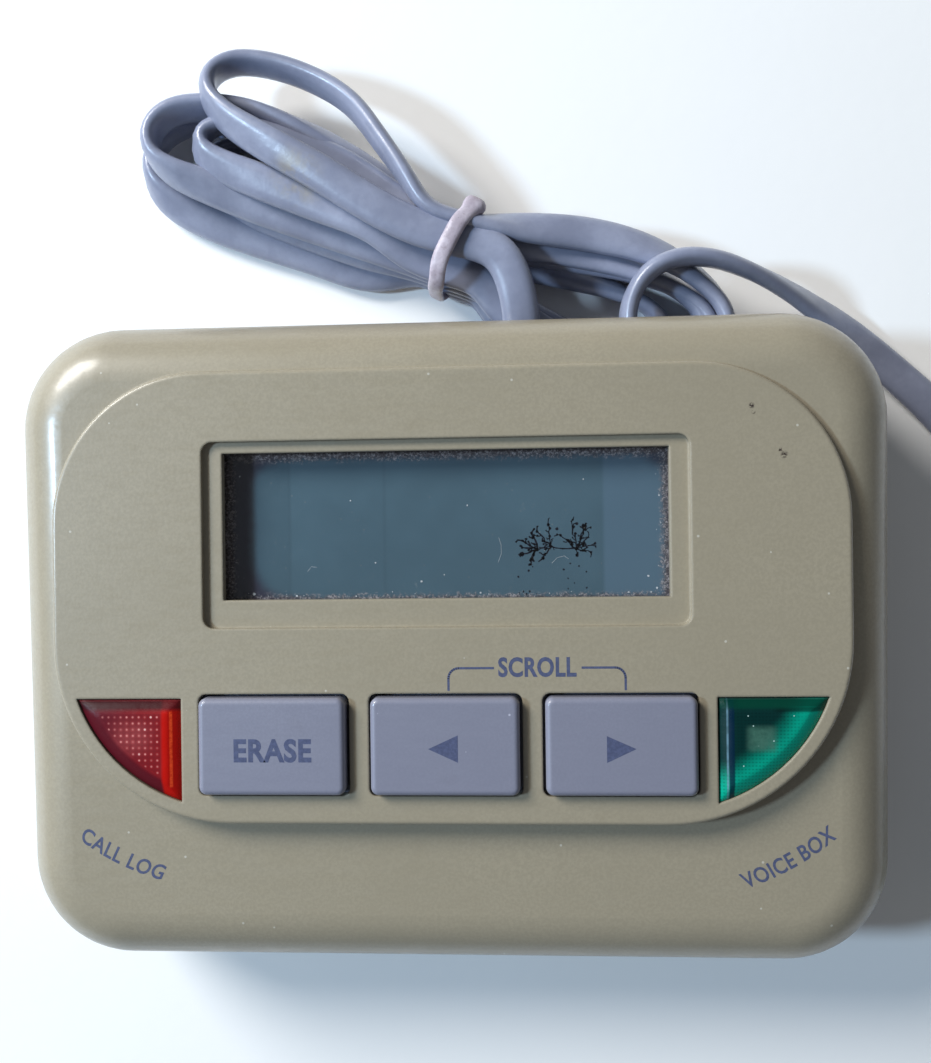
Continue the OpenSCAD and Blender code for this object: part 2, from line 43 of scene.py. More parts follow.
scene.view_settings.view_transform = "Standard"

# ---- camera: above the unit, a little right of and behind its middle ----
LENS_MM, SENSOR_MM = 35.898, 36
CAMERA_AT = (0.01084, 0.01407, 0.15464)
CAMERA_TURN = (-0.03, 3.57, -0.75)  # degrees
cam = bpy.data.objects.new("camera", bpy.data.cameras.new("camera"))
scene.collection.objects.link(cam)
cam.data.lens, cam.data.sensor_width, cam.data.sensor_fit = LENS_MM, SENSOR_MM, "AUTO"
cam.data.clip_start, cam.data.clip_end = 0.01, 10
cam.location = CAMERA_AT
cam.rotation_euler = [math.radians(a) for a in CAMERA_TURN]
scene.camera = cam


# ---- material graphs ----
class Graph:
    """A material with one Principled shader, and short calls that add nodes.

    x, y, z and p are the place on the piece in millimetres.
    """

    def __init__(self, name, **sockets):
        self.m = bpy.data.materials.new(name)
        self.m.use_nodes = True
        self.t = self.m.node_tree
        self.t.nodes.clear()
        self.out, self.b = self.add("OutputMaterial"), self.add("BsdfPrincipled")
        self.t.links.new(self.b.outputs[0], self.out.inputs[0])
        self.coord = self.add("TexCoord")
        mm = self.add("VectorMath", operation="SCALE")
        mm.inputs["Scale"].default_value = 1 / MM
        self.t.links.new(self.coord.outputs["Object"], mm.inputs[0])
        self.p = mm.outputs[0]
        xyz = self.add("SeparateXYZ")
        self.t.links.new(self.p, xyz.inputs[0])
        self.x, self.y, self.z = xyz.outputs
        for socket, value in sockets.items():
            self.b.inputs[socket.replace("_", " ")].default_value = value

    def add(self, kind, **props):
        n = self.t.nodes.new("ShaderNode" + kind)
        for k, v in props.items():
            setattr(n, k, v)
        return n

    def put(self, value, socket):
        if isinstance(value, bpy.types.NodeSocket):
            self.t.links.new(value, socket)
        else:
            socket.default_value = value

    def math(self, op, a, b=0.0):
        n = self.add("Math", operation=op)
        for s, v in zip(n.inputs, (a, b)):
            self.put(v, s)
        return n.outputs[0]

    def plus(self, a, b):
        return self.math("ADD", a, b)

    def minus(self, a, b):
        return self.math("SUBTRACT", a, b)

    def times(self, first, *others):
        for other in others:
            first = self.math("MULTIPLY", first, other)
        return first

    def length(self, a, b):
        return self.math("SQRT", self.plus(self.times(a, a), self.times(b, b)))

    def step(self, value, low, high, a=0.0, b=1.0):
        """Smooth step of value from a at low to b at high."""
        n = self.add("MapRange", interpolation_type="SMOOTHSTEP")
        for s, v in zip(n.inputs, (value, low, high, a, b)):
            self.put(v, s)
        return n.outputs[0]

    def band(self, value, middle, near, far, level=1.0):
        """level where value is within near of middle, falling to 0 at far from it."""
        return self.step(self.math("ABSOLUTE", self.minus(value, middle)), near, far, level, 0.0)

    def noise(self, scale, detail=3.0, rough=0.5, at=None, distort=0.0):
        n = self.add("TexNoise")
        self.put(self.p if at is None else at, n.inputs["Vector"])
        for k, v in (("Scale", scale), ("Detail", detail), ("Roughness", rough), ("Distortion", distort)):
            n.inputs[k].default_value = v
        return n.outputs[0]

    def cells(self, scale):
        """Distance to the nearest of scattered points."""
        n = self.add("TexVoronoi", feature="F1")
        self.put(self.p, n.inputs["Vector"])
        n.inputs["Scale"].default_value = scale
        return n.outputs["Distance"]

    def stretched(self, x, y, z):
        n = self.add("VectorMath", operation="MULTIPLY")
        self.put(self.p, n.inputs[0])
        n.inputs[1].default_value = (x, y, z)
        return n.outputs[0]

    def mix(self, fac, a, b):
        n = self.add("Mix", data_type="RGBA")
        self.put(fac, n.inputs[0])
        for v, s in ((a, n.inputs[6]), (b, n.inputs[7])):
            self.put((*v, 1) if isinstance(v, tuple) else v, s)
        return n.outputs[2]

    def near(self, x, y, r, soft):
        """1 within r millimetres of the point x, y, seen from above, and 0 beyond r + soft."""
        return self.step(self.length(self.minus(self.x, x), self.minus(self.y, y)), r, r + soft, 1.0, 0.0)

    def bump(self, height, depth, under=None):
        """depth is in millimetres."""
        n = self.add("Bump")
        n.inputs["Strength"].default_value = 1.0
        n.inputs["Distance"].default_value = depth * MM
        self.put(height, n.inputs["Height"])
        if under is not None:
            self.put(under, n.inputs["Normal"])
        return n.outputs[0]

    def soft_edge(self, radius):
        """radius is in millimetres."""
        n = self.add("Bevel", samples=6)
        n.inputs["Radius"].default_value = radius * MM
        return n.outputs[0]

    def done(self, colour, rough, normal=None):
        self.put(colour, self.b.inputs["Base Color"])
        self.put(rough, self.b.inputs["Roughness"])
        if normal is not None:
            self.put(normal, self.b.inputs["Normal"])
        return self.m


def tinted(c, k):
    return tuple(min(1.0, v * k) for v in c)


# ---- moulded plastic ----
BEIGE = (0.333, 0.289, 0.208)
LAVENDER = (0.222, 0.226, 0.292)
INK = (0.070, 0.082, 0.150)
BURN = (0.035, 0.022, 0.018)
BURN_MARKS = ((37.4, 28.8, 0.30), (37.6, 28.0, 0.20), (41.2, 22.8, 0.38), (40.7, 23.4, 0.24))  # x, y, radius


def moulded(name, colour, dark, grain, rough=(0.36, 0.50), depth=0.012, specks=None, marks=(), edge=0.45):
    """Moulded plastic: fine spark-eroded grain, slow colour drift, a little rubbed dirt."""
    g = Graph(name, Specular_IOR_Level=0.5, Coat_Weight=0.45, Coat_Roughness=0.20)
    drift = g.noise(0.045, 3, 0.6)
    fine = g.noise(grain, 3, 0.6)
    col = g.mix(g.step(drift, 0.35, 0.68), tinted(colour, 0.985), tinted(colour, 1.03))
    col = g.mix(g.step(fine, 0.36, 0.66), tinted(colour, dark), col)
    dirt = g.step(g.noise(0.16, 5, 0.68), 0.60, 0.80, 0.0, 0.18)
    col = g.mix(dirt, col, (colour[0] * 0.72, colour[1] * 0.68, colour[2] * 0.62))
    if specks:
        col = g.mix(g.step(g.cells(0.23), 0.030, 0.042, 0.6, 0.0), col, specks)
    for x, y, r in marks:
        ragged = g.step(g.noise(3.2, 2, 0.7), 0.42, 0.56)
        col = g.mix(g.times(g.near(x, y, r * 0.4, r * 1.2), ragged), col, BURN)
    scuff = g.noise(0.9, 4, 0.7, at=g.stretched(0.25, 1.0, 1.0))
    gloss = g.step(g.plus(scuff, g.times(drift, 0.3)), 0.45, 0.85, *rough)
    coarse = g.noise(grain * 0.42, 2, 0.5)
    height = g.plus(fine, g.times(coarse, 0.8))
    return g.done(col, gloss, g.bump(height, depth, under=g.soft_edge(edge)))


def assign(name, material):
    o = nodes[name]
    o.data.materials.clear()
    o.data.materials.append(material)
    return o


base_plastic = moulded("base_plastic", tinted(BEIGE, 0.97), dark=0.9, grain=2.2)
key_plastic = moulded("key_plastic", LAVENDER, dark=0.95, grain=3.0, rough=(0.40, 0.52), depth=0.007,
                      specks=(0.6, 0.6, 0.7), edge=0.3)
assign("upper_housing", moulded("housing_plastic", BEIGE, dark=0.93, grain=2.6, specks=(0.62, 0.60, 0.52),
                                marks=BURN_MARKS))
for n in ("lower_housing", "battery_door"):
    assign(n, base_plastic)
for n in ("erase_key", "back_key", "forward_key"):
    assign(n, key_plastic)


# ---- printed ink ----
KEY_TOP, FACE = 27.0, 25.5
INK_LIFT = 0.012


def ink_material():
    g = Graph("printed_ink", Specular_IOR_Level=0.4)
    col = g.mix(g.step(g.noise(2.4, 4, 0.7), 0.34, 0.62), tinted(INK, 1.3), INK)
    return g.done(col, g.step(g.noise(1.1, 2), 0.3, 0.7, 0.34, 0.5), g.bump(g.noise(3.0, 2), 0.006))


ink = ink_material()


def link_mesh(name, mesh, material, body):
    o = bpy.data.objects.new(name, mesh)
    scene.collection.objects.link(o)
    mesh.materials.clear()
    mesh.materials.append(material)
    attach(o, body)
    return o


def mesh_of(bm, name, smooth=False):
    mesh = bpy.data.meshes.new(name)
    bm.to_mesh(mesh)
    bm.free()
    if smooth:
        mesh.shade_smooth()
    return mesh


def key_top(x, y):
    return KEY_TOP


def island_face(x, y):
    return FACE


def sloping_top(x, y):
    """Height of the flat of the sloping top, in mm."""
    return 23.475 + 0.0358 * y


def flat_piece(name, polygons, surface, body, material, lift=INK_LIFT):
    """A flat mark: polygons in mm, laid on the surface whose height is surface(x, y)."""
    bm = bmesh.new()
    for poly in polygons:
        bm.faces.new([bm.verts.new((x * MM, y * MM, (surface(x, y) + lift) * MM)) for x, y in poly])
    bmesh.ops.recalc_face_normals(bm, faces=bm.faces)
    for f in bm.faces:
        if f.normal.z < 0:
            f.normal_flip()
    return link_mesh(name, mesh_of(bm, name), material, body)


def word(name, text, centre, width, height, angle, surface, body, bold, arc=0.0):
    """Generic lettering from Blender's own font, laid on a surface. arc is how far the line bows, in mm."""
    curve = bpy.data.curves.new(name, "FONT")
    curve.body = text
    curve.size = 0.01
    curve.align_x, curve.align_y = "CENTER", "CENTER"
    curve.offset = bold
    curve.resolution_u = 4
    curve.space_character = 1.06
    letters = bpy.data.objects.new(name + "_letters", curve)
    scene.collection.objects.link(letters)
    bpy.context.view_layer.update()
    mesh = bpy.data.meshes.new_from_object(letters)
    bpy.data.objects.remove(letters)
    bpy.data.curves.remove(curve)
    co = np.array([v.co for v in mesh.vertices], float)
    lo, hi = co.min(0), co.max(0)
    u = ((co[:, 0] - lo[0]) / (hi[0] - lo[0]) - 0.5) * width
    v = ((co[:, 1] - lo[1]) / (hi[1] - lo[1]) - 0.5) * height
    v = v + arc * (1 - (2 * u / width) ** 2)
    a = math.radians(angle)
    for i, vert in enumerate(mesh.vertices):
        x = centre[0] + u[i] * math.cos(a) - v[i] * math.sin(a)
        y = centre[1] + u[i] * math.sin(a) + v[i] * math.cos(a)
        vert.co = (x * MM, y * MM, (surface(x, y) + INK_LIFT) * MM)
    return link_mesh(name, mesh, ink, body)


word("legend_erase", "ERASE", (-21.1, -12.35), 9.6, 2.9, 0, key_top, "erase_key", bold=0.00036)
back_mark = [(-2.0, -12.15), (1.6, -13.8), (1.6, -10.5)]
forward_mark = [(19.5, -13.8), (23.0, -12.15), (19.5, -10.6)]
flat_piece("legend_back", [back_mark], key_top, "back_key", ink)
flat_piece("legend_forward", [forward_mark], key_top, "forward_key", ink)
word("legend_scroll", "SCROLL", (11.3, -2.48), 9.5, 2.45, 0, island_face, "case", bold=0.00032)
word("legend_calls", "CALL LOG", (-41.6, -26.3), 11.6, 2.05, -26, sloping_top, "case", bold=0.00018,
     arc=-0.55)
word("legend_voice", "VOICE BOX", (41.6, -26.25), 12.6, 2.05, 30, sloping_top, "case", bold=0.00018,
     arc=-0.6)


def bracket():
    """The thin line that joins the two arrow keys to their word, in two halves with a round corner each."""
    wide, r, top, foot = 0.28, 1.25, -2.58, -5.3
    polys = []
    for way, x_out, x_in in ((1, 0.45, 6.0), (-1, 21.95, 16.7)):
        line = [(x_out, foot), (x_out, top - r)]
        for t in np.linspace(0.2, math.pi / 2, 7):
            line.append((x_out + way * r * (1 - math.cos(t)), top - r + r * math.sin(t)))
        line.append((x_in, top))
        for a, b in zip(line, line[1:]):
            a, b = Vector(a), Vector(b)
            d = (b - a).normalized()
            q = Vector((-d.y, d.x)) * wide / 2
            e = d * wide * 0.12
            polys.append([tuple(c) for c in (a - e - q, b + e - q, b + e + q, a - e + q)])
    flat_piece("legend_bracket", polys, island_face, "case", ink)


bracket()


# ---- line cord: one flat cord from the line socket through its hank to its far plug ----
CORD_WIDE, CORD_THICK, CORD_GAP = 5.0, 2.4, 0.12
LAYER = [1.45, 4.05, 6.7, 9.4]
TIE_AT, TIE_ALONG, TIE_REAR = Vector((0.8, 52.7)), Vector((0.927, -0.375)), Vector((0.375, 0.927))


def at_tie(offset, z, leftwards, roll=0):
    """Three points through the tie, offset towards the rear from its middle."""
    pts = [TIE_AT + TIE_ALONG * t + TIE_REAR * offset for t in ((5, 0, -5) if leftwards else (-5, 0, 5))]
    return [(p.x, p.y, z, roll) for p in pts]


def run(points, zs, rolls):
    """Points in plan, with heights and rolls given at even steps along them.

    A roll of 90 degrees stands the cord on its edge.
    """
    k = np.linspace(0, 1, len(points))
    z = np.interp(k, np.linspace(0, 1, len(zs)), zs)
    r = np.interp(k, np.linspace(0, 1, len(rolls)), rolls)
    return [(x, y, float(z[i]), float(r[i])) for i, (x, y) in enumerate(points)]


# folds on the left of the tie
LOW_OUTER = run([(-12, 51.6), (-21, 54.6), (-31, 58.0), (-36.5, 60.2), (-40.6, 62.4), (-43.4, 65.2),
                 (-44.0, 68.4), (-42.4, 71.6), (-39.0, 73.4), (-34.6, 73.6), (-27, 71.6), (-18, 67.4),
                 (-9, 61.4)],
                (1.5, 1.9, 2.7, 2.75, 2.75, 2.3, 1.6), (0, 10, 38, 88, 82, 30, 0))
LOW_INNER = run([(-12, 54.2), (-20, 57.2), (-27.5, 60.2), (-32.2, 62.2), (-34.8, 64.4), (-35.4, 67.2),
                 (-34.0, 69.8), (-31.2, 71.0), (-27.6, 70.4), (-22, 67.8), (-16, 64.4), (-9.4, 59.8)],
                (4.0, 3.4, 2.8, 2.7, 2.8, 3.4, 4.0), (0, 20, 60, 90, 80, 30, 0))
TOP_OUTER = run([(-12, 54.9), (-20.3, 57.9), (-28.4, 60.9), (-34.6, 63.4), (-39.2, 65.4), (-42.0, 68.0),
                 (-42.0, 71.3), (-39.2, 73.7), (-34.8, 74.4), (-28, 73.8), (-20.4, 71.0), (-13, 66.0),
                 (-7.2, 60.8)],
                (6.6, 7.0, 7.8, 8.0, 8.0, 7.8, 7.2, 6.8), (0, 12, 42, 84, 106, 104, 60, 0))
TOP_INNER = run([(-10.5, 56.4), (-19, 60.0), (-27, 63.4), (-32.0, 65.6), (-34.8, 67.8), (-34.8, 70.2),
                 (-32.2, 71.7), (-28.4, 71.5), (-22, 69.2), (-15, 65.4), (-8.6, 60.6)],
                (10.4, 9.7, 9.0, 8.4, 8.4, 8.8, 9.2), (0, 14, 42, 84, 80, 36, 0))
LOOSE = run([(-8.6, 57.4), (-17.4, 63.0), (-24.8, 67.5), (-30.2, 71.2), (-33.2, 75.0), (-33.0, 78.2),
             (-30.2, 80.0), (-25.2, 79.6), (-18.6, 77.0), (-13.2, 73.2), (-9.2, 67.8), (-5.6, 62.4)],
            (12.9, 12.8, 12.0, 10.8, 9.4, 8.6, 8.6, 9.6, 10.8, 12.0),
            (4, 16, 38, 66, 84, 98, 104, 106, 104, 96))

# folds on the right, partly under the rear edge of the housing
BAY_FAR = run([(6.6, 55.4), (10.2, 55.0), (15, 54.6), (20, 53.9), (25.2, 52.6), (30, 50.6), (34.2, 47.6),
               (37.2, 43.8), (37.6, 39.6), (34.6, 36.2), (29, 35.0), (21, 36.6), (13.6, 40.6), (7.6, 44.6)],
              (12.0, 11.2, 10.4, 10.0, 9.6, 9.4, 9.2, 8.8, 8.6, 9.0),
              (58, 22, 14, 30, 60, 86, 88, 80, 40, 0))
BAY_TOP = run([(9.8, 53.6), (17, 52.4), (25, 50.0), (31.6, 46.6), (34.8, 42.4), (33.4, 38.4), (28.6, 36.4),
               (21, 37.8), (13.6, 41.2), (7.0, 44.8)],
              (9.4, 8.6, 8.0, 7.9, 7.7, 6.4, 4.2, 1.7), (0, 20, 62, 86, 88, 70, 30, 0))
BAY_LOW = run([(9.6, 53.6), (17, 52.8), (25, 51.0), (32, 48.2), (36.6, 44.4), (37.4, 39.8), (34.2, 36.4),
               (28.4, 35.4), (20.4, 37.0), (13, 40.2), (7.2, 44.4)],
              (1.6, 2.4, 2.7, 2.7, 2.7, 2.7, 2.8, 3.8), (0, 30, 80, 90, 90, 80, 40, 0))
BAY_INNER = run([(9.6, 52.2), (16, 50.6), (23, 48.2), (28.4, 45.2), (30.4, 41.8), (28.6, 38.9), (24.2, 38.5),
                 (17.4, 40.6), (11.0, 43.6)],
                (4.0, 3.2, 2.7, 2.7, 3.0, 4.2, 6.4), (0, 30, 85, 90, 85, 40, 0))
HOOK = run([(9.8, 53.4), (17, 52.0), (25, 49.8), (31.4, 46.8), (35.2, 43.0), (35.4, 39.2), (32.4, 36.2),
            (28.2, 35.8), (25.0, 38.4), (24.0, 41.8)],
           (7.0, 7.6, 8.0, 8.2, 8.6, 9.4, 10.4, 11.2), (0, 20, 60, 86, 90, 90, 88, 88))

# the two ends: x, y, z and roll
START = [(10, 38, 10.1, 0), (9.95, 40.4, 10.9, 0), (9.7, 44.0, 12.3, 4), (8.8, 48.0, 13.0, 10),
         (7.1, 51.2, 13.1, 10), (4.6, 52.6, 13.0, 4), (0.6, 53.6, 12.9, 0), (-3.8, 55.0, 12.9, 0)]
TAIL = [(24.6, 45.2, 11.6, 88), (26.8, 48.4, 12.6, 88), (30.6, 50.0, 12.9, 86), (35.4, 49.9, 12.3, 82),
        (40.4, 48.6, 10.4, 74), (45.2, 46.9, 7.8, 62), (50, 44.6, 5.2, 46), (56, 40.8, 3.0, 26),
        (62.4, 35.4, 1.8, 10), (68.4, 29.6, 1.4, 0), (74, 22, 1.35, 0), (77.2, 13, 1.35, 0),
        (78, 3, 1.35, 0), (78, -8, 1.8, 0), (78, -16, 3.2, 0), (78, -22, 4.2, 0)]

route = START + LOOSE + at_tie(3.6, 12.1, False, 84)[:2] + BAY_FAR
for layer, left_fold, right_fold in (
    (3, TOP_INNER, BAY_TOP), (0, LOW_OUTER, BAY_LOW), (1, LOW_INNER, BAY_INNER), (2, TOP_OUTER, HOOK),
):
    z = LAYER[layer]
    route += at_tie(-2.5, z, True) + left_fold + at_tie(2.5, z, False) + right_fold
route += TAIL


def resampled(route, step):
    """Centripetal curve through the route, at even steps. Columns are x, y, z, roll."""
    p = np.array(route, float)
    ext = np.vstack([2 * p[0] - p[1], p, 2 * p[-1] - p[-2]])
    out = []
    for i in range(1, len(ext) - 2):
        a, b, c, d = ext[i - 1 : i + 3]
        t0 = 0.0
        t1 = t0 + max(np.linalg.norm((b - a)[:3]), 1e-6) ** 0.5
        t2 = t1 + max(np.linalg.norm((c - b)[:3]), 1e-6) ** 0.5
        t3 = t2 + max(np.linalg.norm((d - c)[:3]), 1e-6) ** 0.5
        for t in np.linspace(t1, t2, 12, endpoint=False):
            a1 = (t1 - t) / (t1 - t0) * a + (t - t0) / (t1 - t0) * b
            a2 = (t2 - t) / (t2 - t1) * b + (t - t1) / (t2 - t1) * c
            a3 = (t3 - t) / (t3 - t2) * c + (t - t2) / (t3 - t2) * d
            b1 = (t2 - t) / (t2 - t0) * a1 + (t - t0) / (t2 - t0) * a2
            b2 = (t3 - t) / (t3 - t1) * a2 + (t - t1) / (t3 - t1) * a3
            out.append((t2 - t) / (t2 - t1) * b1 + (t - t1) / (t2 - t1) * b2)
    out.append(p[-1])
    out = np.array(out)
    s = np.concatenate([[0], np.cumsum(np.linalg.norm(np.diff(out[:, :3], axis=0), axis=1))])
    at = np.linspace(0, s[-1], int(s[-1] / step) + 1)
    even = np.stack([np.interp(at, s, out[:, k]) for k in range(4)], axis=1)
    for _ in range(3):
        even[1:-1] = 0.25 * even[:-2] + 0.5 * even[1:-1] + 0.25 * even[2:]
    return even


def signed_power(value, power):
    return math.copysign(abs(value) ** power, value)


def flat_cord(name, route, width, thick, step=1.0, sides=20):
    """A ribbon with round edges and a shallow groove along each face, swept along the route.

    width, thick and step are in mm. It is lifted wherever it would touch the floor.
    """
    q = resampled(route, step)
    n = len(q)
    t = np.gradient(q[:, :3], axis=0)
    t /= np.linalg.norm(t, axis=1)[:, None]
    side = np.cross(t, (0, 0, 1))
    side /= np.linalg.norm(side, axis=1)[:, None]
    up = np.cross(side, t)
    r = np.radians(q[:, 3])[:, None]
    wide, tall = side * np.cos(r) + up * np.sin(r), up * np.cos(r) - side * np.sin(r)
    lowest = q[:, 2] - (np.abs(wide[:, 2]) * width + np.abs(tall[:, 2]) * thick) / 2
    q[:, 2] += np.maximum(CORD_GAP - lowest, 0)
    verts = []
    for i in range(n):
        for j in range(sides):
            a = 2 * math.pi * j / sides
            u = signed_power(math.cos(a), 0.8) * width / 2
            groove = 0.05 * math.exp(-((u / (width * 0.14)) ** 2))
            v = signed_power(math.sin(a), 0.95) * thick / 2 * (1 - groove)
            verts.append(tuple((q[i, :3] + wide[i] * u + tall[i] * v) * MM))
    faces = []
    for i in range(n - 1):
        for j in range(sides):
            k = (j + 1) % sides
            faces.append((i * sides + j, i * sides + k, (i + 1) * sides + k, (i + 1) * sides + j))
    faces += [tuple(range(sides - 1, -1, -1)), tuple((n - 1) * sides + j for j in range(sides))]
    mesh = bpy.data.meshes.new(name)
    mesh.from_pydata(verts, [], faces)
    uv = mesh.uv_layers.new(name="along")
    for poly in mesh.polygons:
        last = len(poly.vertices) == 4 and max(v % sides for v in poly.vertices) == sides - 1
        for li in poly.loop_indices:
            i, j = divmod(mesh.loops[li].vertex_index, sides)
            uv.data[li].uv = (i * step / 10, (sides if j == 0 and last else j) / sides)
    bm = bmesh.new()
    bm.from_mesh(mesh)
    bmesh.ops.recalc_face_normals(bm, faces=bm.faces)
    bm.to_mesh(mesh)
    bm.free()
    mesh.shade_smooth()
    return mesh, q[:, :3]


def cord_material():
    """Glossy silver-grey sheath with fine lengthwise ribs, some grime and one yellowed place in the hank."""
    g = Graph("cord_sheath", Specular_IOR_Level=0.55, Coat_Weight=0.22, Coat_Roughness=0.26)
    base, light = (0.218, 0.238, 0.328), (0.294, 0.318, 0.425)
    col = g.mix(g.step(g.noise(0.11, 4, 0.6), 0.36, 0.66), base, light)
    fine = g.noise(1.6, 4, 0.6)
    col = g.mix(g.step(fine, 0.4, 0.7, 0.0, 0.10), col, tinted(base, 0.72))
    yellowed = g.times(g.near(-20.5, 62.6, 1.0, 4.0), g.step(g.noise(0.35, 4, 0.7), 0.38, 0.66, 0.0, 0.55))
    col = g.mix(yellowed, col, (0.30, 0.26, 0.17))
    col = g.mix(g.step(g.noise(0.24, 5, 0.7), 0.66, 0.80, 0.0, 0.22), col, (0.22, 0.19, 0.16))
    uv = g.add("UVMap", uv_map="along")
    split = g.add("SeparateXYZ")
    g.put(uv.outputs[0], split.inputs[0])
    ribs = g.math("SINE", g.times(split.outputs[1], 2 * math.pi * 8))
    height = g.plus(g.times(ribs, 0.22), g.plus(fine, g.times(g.noise(0.5, 3, 0.6), 1.5)))
    return g.done(col, g.step(g.noise(0.6, 3), 0.3, 0.7, 0.28, 0.40), g.bump(height, 0.018))


cord_sheath = cord_material()
cord_mesh, cord_line = flat_cord("line_cord", route, CORD_WIDE, CORD_THICK)
cord_obj = link_mesh("line_cord", cord_mesh, cord_sheath, "case")
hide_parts("line_cord_a", "cord_hank", "cord_loose_turn", "line_cord_b")


# ---- cord tie ----
def tie_material():
    g = Graph("tie_rubber", Specular_IOR_Level=0.5)
    col = g.mix(g.step(g.noise(0.5, 4, 0.6), 0.35, 0.65), (0.42, 0.36, 0.42), (0.56, 0.50, 0.57))
    col = g.mix(g.step(g.noise(2.2, 3, 0.6), 0.55, 0.75, 0.0, 0.4), col, (0.20, 0.15, 0.16))
    return g.done(col, g.step(g.noise(1.4, 2), 0.3, 0.7, 0.32, 0.5), g.bump(g.noise(1.9, 4, 0.65), 0.06))


def tie():
    """A grooved rubber band round the hank, a rounded rectangle in outline, with a knob at the upper rear."""
    across = Vector((0.47, 0.883, 0))
    along = Vector((across.y, -across.x, 0))
    half_wide, low, high = 6.0, 0.55, 14.9
    middle = Vector((TIE_AT.x, TIE_AT.y, (low + high) / 2))
    steps, sides, knob_at, knob_wide = 72, 14, 0.62, 0.20
    ring = []
    for i in range(steps):
        a = 2 * math.pi * i / steps
        u, w = signed_power(math.cos(a), 0.55) * half_wide, signed_power(math.sin(a), 0.55) * (high - low) / 2
        ring.append(middle + across * u + along * 0.35 * math.sin(3 * a) + Vector((0, 0, w)))
    bm = bmesh.new()
    rows = []
    for i, p in enumerate(ring):
        q = (ring[(i + 1) % steps] - ring[i - 1]).normalized()
        tall = q.cross(along).normalized()
        if tall.dot(p - middle) < 0:
            tall = -tall
        knob = math.exp(-(((2 * math.pi * i / steps - knob_at) / knob_wide) ** 2))
        half_w, half_t = 1.15 + 0.45 * knob, 0.55 + 0.75 * knob
        row = []
        for j in range(sides):
            b = 2 * math.pi * j / sides
            groove = 1 - 0.22 * math.exp(-((math.cos(b) / 0.35) ** 2)) * (math.sin(b) > 0)
            out = half_t * math.sin(b) * groove + knob * 0.5
            row.append(bm.verts.new((p + along * half_w * math.cos(b) + tall * out) * MM))
        rows.append(row)
    for i, row in enumerate(rows):
        after = rows[(i + 1) % steps]
        for j in range(sides):
            k = (j + 1) % sides
            bm.faces.new((row[j], row[k], after[k], after[j]))
    bmesh.ops.recalc_face_normals(bm, faces=bm.faces)
    o = link_mesh("tie_band", mesh_of(bm, "tie_band", smooth=True), tie_material(), "case")
    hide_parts("cord_tie")


tie()


# ---- clear parts ----
def clear(name, tint, reflect, rough, dirt, grain=0.5):
    """Clear plastic: see-through, with a gloss that grows towards the edges, and a little dust on it."""
    g = Graph(name, Specular_IOR_Level=0.5)
    see, gloss = g.add("BsdfTransparent"), g.add("BsdfGlossy")
    both, haze = g.add("MixShader"), g.add("MixShader")
    facing = g.add("LayerWeight").outputs["Facing"]
    g.put((*tint, 1), see.inputs["Color"])
    g.put(g.step(g.noise(grain, 3), 0.3, 0.7, rough, rough * 2.2), gloss.inputs["Roughness"])
    g.put(g.bump(g.noise(grain * 1.6, 3), 0.01), gloss.inputs["Normal"])
    g.put(g.plus(reflect, g.times(g.math("POWER", facing, 5.0), 0.9)), both.inputs[0])
    g.put(see.outputs[0], both.inputs[1])
    g.put(gloss.outputs[0], both.inputs[2])
    specks = g.step(g.cells(0.62), 0.030, 0.042, 0.75, 0.0)
    lint = g.step(g.noise(0.5, 5, 0.75, distort=1.5), 0.66, 0.72, 0.0, 0.22)
    g.put(g.times(g.math("MAXIMUM", specks, lint), dirt), haze.inputs[0])
    g.put(both.outputs[0], haze.inputs[1])
    g.put(g.b.outputs[0], haze.inputs[2])
    g.put((0.55, 0.53, 0.48, 1), g.b.inputs["Base Color"])
    g.put(haze.outputs[0], g.out.inputs[0])
    return g.m


assign("lcd_window", clear("window_acrylic", (0.95, 0.96, 0.97), 0.035, 0.02, dirt=0.5))


